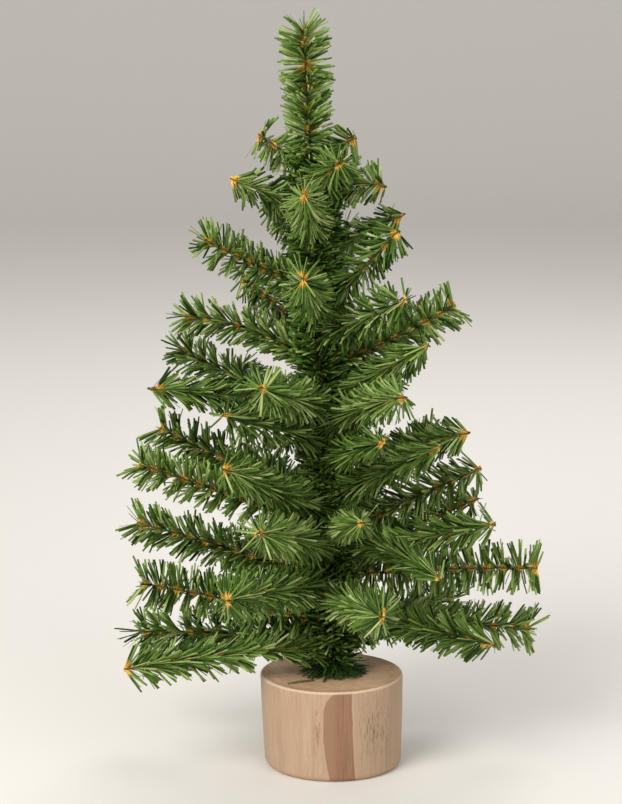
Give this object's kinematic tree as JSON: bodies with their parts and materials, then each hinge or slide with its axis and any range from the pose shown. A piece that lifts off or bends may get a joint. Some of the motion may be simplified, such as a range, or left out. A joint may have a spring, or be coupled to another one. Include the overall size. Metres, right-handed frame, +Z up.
{
  "type": "artificial tabletop tree",
  "caption": "Small artificial tree with bendable garland tips on a wound wire stem, glued into a round turned wooden base.",
  "frame": {"origin": "centre of the base's flat underside", "axes": "+Z up along the stem, -Y towards the viewer, +X to the viewer's right"},
  "size_m": [0.1909, 0.1765, 0.3494],
  "materials": {
    "turned_wood": "bare, finely sanded",
    "stem_wire": "dark wound wire",
    "needle_green": "slit plastic film, soft gloss"
  },
  "bodies": {
    "stand": {"wood_base": "turned_wood", "trunk_wire": "stem_wire", "trunk_foot_tuft": "needle_green"},
    "tip_01": {"garland_tip_01": "needle_green"},
    "tip_02": {"garland_tip_02": "needle_green"},
    "tip_03": {"garland_tip_03": "needle_green"},
    "tip_04": {"garland_tip_04": "needle_green"},
    "tip_05": {"garland_tip_05": "needle_green"},
    "tip_06": {"garland_tip_06": "needle_green"},
    "tip_07": {"garland_tip_07": "needle_green"},
    "tip_08": {"garland_tip_08": "needle_green"},
    "tip_09": {"garland_tip_09": "needle_green"},
    "tip_10": {"garland_tip_10": "needle_green"},
    "tip_11": {"garland_tip_11": "needle_green"},
    "tip_12": {"garland_tip_12": "needle_green"},
    "tip_13": {"garland_tip_13": "needle_green"},
    "tip_14": {"garland_tip_14": "needle_green"},
    "tip_15": {"garland_tip_15": "needle_green"},
    "tip_16": {"garland_tip_16": "needle_green"},
    "tip_17": {"garland_tip_17": "needle_green"},
    "tip_18": {"garland_tip_18": "needle_green"},
    "tip_19": {"garland_tip_19": "needle_green"},
    "tip_20": {"garland_tip_20": "needle_green"},
    "tip_21": {"garland_tip_21": "needle_green"},
    "tip_22": {"garland_tip_22": "needle_green"},
    "tip_23": {"garland_tip_23": "needle_green"},
    "tip_24": {"garland_tip_24": "needle_green"},
    "tip_25": {"garland_tip_25": "needle_green"},
    "tip_26": {"garland_tip_26": "needle_green"},
    "tip_27": {"garland_tip_27": "needle_green"},
    "tip_28": {"garland_tip_28": "needle_green"},
    "tip_29": {"garland_tip_29": "needle_green"},
    "tip_30": {"garland_tip_30": "needle_green"},
    "tip_31": {"garland_tip_31": "needle_green"},
    "tip_32": {"garland_tip_32": "needle_green"},
    "tip_33": {"garland_tip_33": "needle_green"},
    "tip_34": {"garland_tip_34": "needle_green"},
    "tip_35": {"garland_tip_35": "needle_green"},
    "tip_36": {"garland_tip_36": "needle_green"},
    "tip_37": {"garland_tip_37": "needle_green"},
    "tip_38": {"garland_tip_38": "needle_green"},
    "tip_39": {"garland_tip_39": "needle_green"},
    "tip_40": {"garland_tip_40": "needle_green"},
    "tip_41": {"garland_tip_41": "needle_green"},
    "tip_42": {"garland_tip_42": "needle_green"},
    "tip_43": {"garland_tip_43": "needle_green"},
    "tip_44": {"garland_tip_44": "needle_green"},
    "tip_45": {"garland_tip_45": "needle_green"},
    "tip_46": {"garland_tip_46": "needle_green"},
    "tip_47": {"garland_tip_47": "needle_green"},
    "tip_48": {"garland_tip_48": "needle_green"},
    "tip_49": {"garland_tip_49": "needle_green"},
    "tip_50": {"garland_tip_50": "needle_green"},
    "tip_51": {"garland_tip_51": "needle_green"},
    "tip_52": {"garland_tip_52": "needle_green"},
    "tip_53": {"garland_tip_53": "needle_green"},
    "tip_54": {"garland_tip_54": "needle_green"},
    "tip_55": {"garland_tip_55": "needle_green"},
    "tip_56": {"garland_tip_56": "needle_green"},
    "leader": {"leader_tip": "needle_green"}
  },
  "joints": [
    {"name": "tip_01_bend", "type": "hinge", "parent": "stand", "child": "tip_01", "pos_m": [-0.00375, -0.00131, 0.0556], "axis": [-0.3584, 0.9336, 0], "range_deg": [-15, 30]},
    {"name": "tip_02_bend", "type": "hinge", "parent": "stand", "child": "tip_02", "pos_m": [-0.00106, 0.00359, 0.05804], "axis": [0.9848, 0.1736, 0], "range_deg": [-15, 30]},
    {"name": "tip_03_bend", "type": "hinge", "parent": "stand", "child": "tip_03", "pos_m": [-0.00392, 0.00112, 0.05926], "axis": [0.309, 0.9511, 0], "range_deg": [-15, 30]},
    {"name": "tip_04_bend", "type": "hinge", "parent": "stand", "child": "tip_04", "pos_m": [0.00192, 0.0027, 0.06048], "axis": [0.7431, -0.6691, 0], "range_deg": [-15, 30]},
    {"name": "tip_05_bend", "type": "hinge", "parent": "stand", "child": "tip_05", "pos_m": [-0.00429, -0.0005, 0.06658], "axis": [-0.1392, 0.9903, 0], "range_deg": [-15, 30]},
    {"name": "tip_06_bend", "type": "hinge", "parent": "stand", "child": "tip_06", "pos_m": [0.00278, 0.00063, 0.0678], "axis": [0.1736, -0.9848, 0], "range_deg": [-15, 30]},
    {"name": "tip_07_bend", "type": "hinge", "parent": "stand", "child": "tip_07", "pos_m": [0.00233, -0.00146, 0.07268], "axis": [-0.4067, -0.9135, 0], "range_deg": [-15, 30]},
    {"name": "tip_08_bend", "type": "hinge", "parent": "stand", "child": "tip_08", "pos_m": [-0.00341, 0.00273, 0.07756], "axis": [0.766, 0.6428, 0], "range_deg": [-15, 30]},
    {"name": "tip_09_bend", "type": "hinge", "parent": "stand", "child": "tip_09", "pos_m": [-0.0003, -0.00343, 0.08], "axis": [-0.9659, -0.2588, 0], "range_deg": [-15, 30]},
    {"name": "tip_10_bend", "type": "hinge", "parent": "stand", "child": "tip_10", "pos_m": [-0.00044, 0.00342, 0.08366], "axis": [0.9659, -0.2588, 0], "range_deg": [-15, 30]},
    {"name": "tip_11_bend", "type": "hinge", "parent": "stand", "child": "tip_11", "pos_m": [-0.00337, -0.00296, 0.0861], "axis": [-0.8387, 0.5446, 0], "range_deg": [-15, 30]},
    {"name": "tip_12_bend", "type": "hinge", "parent": "stand", "child": "tip_12", "pos_m": [-0.00503, 0.00049, 0.08854], "axis": [0.1392, 0.9903, 0], "range_deg": [-15, 30]},
    {"name": "tip_13_bend", "type": "hinge", "parent": "stand", "child": "tip_13", "pos_m": [0.00191, -0.00018, 0.08976], "axis": [-0.0523, -0.9986, 0], "range_deg": [-15, 30]},
    {"name": "tip_14_bend", "type": "hinge", "parent": "stand", "child": "tip_14", "pos_m": [0.00098, 0.00205, 0.09586], "axis": [0.5878, -0.809, 0], "range_deg": [-15, 30]},
    {"name": "tip_15_bend", "type": "hinge", "parent": "stand", "child": "tip_15", "pos_m": [0.00138, -0.00102, 0.0983], "axis": [-0.2924, -0.9563, 0], "range_deg": [-15, 30]},
    {"name": "tip_16_bend", "type": "hinge", "parent": "stand", "child": "tip_16", "pos_m": [-0.00348, 0.0032, 0.1044], "axis": [0.9272, 0.3746, 0], "range_deg": [-15, 30]},
    {"name": "tip_17_bend", "type": "hinge", "parent": "stand", "child": "tip_17", "pos_m": [-0.00348, -0.0032, 0.1044], "axis": [-0.9272, 0.3746, 0], "range_deg": [-15, 30]},
    {"name": "tip_18_bend", "type": "hinge", "parent": "stand", "child": "tip_18", "pos_m": [0.00097, 0.00089, 0.10806], "axis": [0.2588, -0.9659, 0], "range_deg": [-15, 30]},
    {"name": "tip_19_bend", "type": "hinge", "parent": "stand", "child": "tip_19", "pos_m": [-0.00038, -0.00278, 0.10928], "axis": [-0.809, -0.5878, 0], "range_deg": [-15, 30]},
    {"name": "tip_20_bend", "type": "hinge", "parent": "stand", "child": "tip_20", "pos_m": [-0.0019, -0.00337, 0.11172], "axis": [-0.9848, -0.1736, 0], "range_deg": [-15, 30]},
    {"name": "tip_21_bend", "type": "hinge", "parent": "stand", "child": "tip_21", "pos_m": [-0.0058, -0.00117, 0.11416], "axis": [-0.342, 0.9397, 0], "range_deg": [-15, 30]},
    {"name": "tip_22_bend", "type": "hinge", "parent": "stand", "child": "tip_22", "pos_m": [-0.00549, 0.00195, 0.1166], "axis": [0.5736, 0.8192, 0], "range_deg": [-15, 30]},
    {"name": "tip_23_bend", "type": "hinge", "parent": "stand", "child": "tip_23", "pos_m": [-0.00068, 0.00259, 0.12026], "axis": [0.766, -0.6428, 0], "range_deg": [-15, 30]},
    {"name": "tip_24_bend", "type": "hinge", "parent": "stand", "child": "tip_24", "pos_m": [-0.00475, -0.00283, 0.12148], "axis": [-0.8387, 0.5446, 0], "range_deg": [-15, 30]},
    {"name": "tip_25_bend", "type": "hinge", "parent": "stand", "child": "tip_25", "pos_m": [-0.00635, 0.00093, 0.12636], "axis": [0.2756, 0.9613, 0], "range_deg": [-15, 30]},
    {"name": "tip_26_bend", "type": "hinge", "parent": "stand", "child": "tip_26", "pos_m": [-0.00039, -0.00188, 0.12758], "axis": [-0.5592, -0.829, 0], "range_deg": [-15, 30]},
    {"name": "tip_27_bend", "type": "hinge", "parent": "stand", "child": "tip_27", "pos_m": [-0.00377, 0.00331, 0.13856], "axis": [0.9994, 0.0349, 0], "range_deg": [-15, 30]},
    {"name": "tip_28_bend", "type": "hinge", "parent": "stand", "child": "tip_28", "pos_m": [-0.00046, 0, 0.141], "axis": [0, -1, 0], "range_deg": [-15, 30]},
    {"name": "tip_29_bend", "type": "hinge", "parent": "stand", "child": "tip_29", "pos_m": [-0.0028, -0.00309, 0.14466], "axis": [-0.9397, -0.342, 0], "range_deg": [-15, 30]},
    {"name": "tip_30_bend", "type": "hinge", "parent": "stand", "child": "tip_30", "pos_m": [-0.00271, 0.00294, 0.14954], "axis": [0.8988, -0.4384, 0], "range_deg": [-15, 30]},
    {"name": "tip_31_bend", "type": "hinge", "parent": "stand", "child": "tip_31", "pos_m": [-0.00653, -0.00241, 0.15442], "axis": [-0.7431, 0.6691, 0], "range_deg": [-15, 30]},
    {"name": "tip_32_bend", "type": "hinge", "parent": "stand", "child": "tip_32", "pos_m": [-0.00641, 0.00255, 0.15564], "axis": [0.788, 0.6157, 0], "range_deg": [-15, 30]},
    {"name": "tip_33_bend", "type": "hinge", "parent": "stand", "child": "tip_33", "pos_m": [-0.0029, -0.00266, 0.16174], "axis": [-0.829, -0.5592, 0], "range_deg": [-15, 30]},
    {"name": "tip_34_bend", "type": "hinge", "parent": "stand", "child": "tip_34", "pos_m": [-0.00789, -0.00067, 0.16296], "axis": [-0.2079, 0.9781, 0], "range_deg": [-15, 30]},
    {"name": "tip_35_bend", "type": "hinge", "parent": "stand", "child": "tip_35", "pos_m": [-0.00771, 0.00145, 0.1654], "axis": [0.454, 0.891, 0], "range_deg": [-15, 30]},
    {"name": "tip_36_bend", "type": "hinge", "parent": "stand", "child": "tip_36", "pos_m": [-0.00245, -0.00178, 0.17028], "axis": [-0.5592, -0.829, 0], "range_deg": [-15, 30]},
    {"name": "tip_37_bend", "type": "hinge", "parent": "stand", "child": "tip_37", "pos_m": [-0.00633, -0.00293, 0.17028], "axis": [-0.9205, 0.3907, 0], "range_deg": [-15, 30]},
    {"name": "tip_38_bend", "type": "hinge", "parent": "stand", "child": "tip_38", "pos_m": [-0.00477, 0.00308, 0.1776], "axis": [0.9781, -0.2079, 0], "range_deg": [-15, 30]},
    {"name": "tip_39_bend", "type": "hinge", "parent": "stand", "child": "tip_39", "pos_m": [-0.003, 0.00166, 0.18248], "axis": [0.5299, -0.848, 0], "range_deg": [-15, 30]},
    {"name": "tip_40_bend", "type": "hinge", "parent": "stand", "child": "tip_40", "pos_m": [-0.00278, 0.00027, 0.18736], "axis": [0.0872, -0.9962, 0], "range_deg": [-15, 30]},
    {"name": "tip_41_bend", "type": "hinge", "parent": "stand", "child": "tip_41", "pos_m": [-0.00906, 0.00049, 0.1898], "axis": [0.1564, 0.9877, 0], "range_deg": [-15, 30]},
    {"name": "tip_42_bend", "type": "hinge", "parent": "stand", "child": "tip_42", "pos_m": [-0.00843, 0.00234, 0.19956], "axis": [0.766, 0.6428, 0], "range_deg": [-15, 30]},
    {"name": "tip_43_bend", "type": "hinge", "parent": "stand", "child": "tip_43", "pos_m": [-0.00456, -0.00223, 0.20322], "axis": [-0.7314, -0.682, 0], "range_deg": [-15, 30]},
    {"name": "tip_44_bend", "type": "hinge", "parent": "stand", "child": "tip_44", "pos_m": [-0.00752, -0.00298, 0.21298], "axis": [-0.9903, 0.1392, 0], "range_deg": [-15, 30]},
    {"name": "tip_45_bend", "type": "hinge", "parent": "stand", "child": "tip_45", "pos_m": [-0.00465, -0.00154, 0.21542], "axis": [-0.515, -0.8572, 0], "range_deg": [-15, 30]},
    {"name": "tip_46_bend", "type": "hinge", "parent": "stand", "child": "tip_46", "pos_m": [-0.00675, 0.00287, 0.22152], "axis": [0.9659, -0.2588, 0], "range_deg": [-15, 30]},
    {"name": "tip_47_bend", "type": "hinge", "parent": "stand", "child": "tip_47", "pos_m": [-0.01022, -0.00144, 0.22396], "axis": [-0.4848, 0.8746, 0], "range_deg": [-15, 30]},
    {"name": "tip_48_bend", "type": "hinge", "parent": "stand", "child": "tip_48", "pos_m": [-0.00971, 0.00256, 0.2386], "axis": [0.8829, 0.4695, 0], "range_deg": [-15, 30]},
    {"name": "tip_49_bend", "type": "hinge", "parent": "stand", "child": "tip_49", "pos_m": [-0.00561, 0.00075, 0.23982], "axis": [0.2588, -0.9659, 0], "range_deg": [-15, 30]},
    {"name": "tip_50_bend", "type": "hinge", "parent": "stand", "child": "tip_50", "pos_m": [-0.0093, -0.00283, 0.2508], "axis": [-0.9925, 0.1219, 0], "range_deg": [-15, 30]},
    {"name": "tip_51_bend", "type": "hinge", "parent": "stand", "child": "tip_51", "pos_m": [-0.01205, -0.00039, 0.2569], "axis": [-0.1392, 0.9903, 0], "range_deg": [-15, 30]},
    {"name": "tip_52_bend", "type": "hinge", "parent": "stand", "child": "tip_52", "pos_m": [-0.00812, 0.00256, 0.25812], "axis": [0.9063, -0.4226, 0], "range_deg": [-15, 30]},
    {"name": "tip_53_bend", "type": "hinge", "parent": "stand", "child": "tip_53", "pos_m": [-0.0069, -0.00063, 0.26422], "axis": [-0.225, -0.9744, 0], "range_deg": [-15, 30]},
    {"name": "tip_54_bend", "type": "hinge", "parent": "stand", "child": "tip_54", "pos_m": [-0.00876, -0.00251, 0.27032], "axis": [-0.9063, -0.4226, 0], "range_deg": [-15, 30]},
    {"name": "tip_55_bend", "type": "hinge", "parent": "stand", "child": "tip_55", "pos_m": [-0.013, 0.00071, 0.27886], "axis": [0.2588, 0.9659, 0], "range_deg": [-15, 30]},
    {"name": "tip_56_bend", "type": "hinge", "parent": "stand", "child": "tip_56", "pos_m": [-0.0078, 0.00047, 0.2813], "axis": [0.1736, -0.9848, 0], "range_deg": [-15, 30]},
    {"name": "leader_bend", "type": "hinge", "parent": "stand", "child": "leader", "pos_m": [-0.01079, 0, 0.2874], "axis": [0, 1, 0], "range_deg": [-20, 20]}
  ]
}
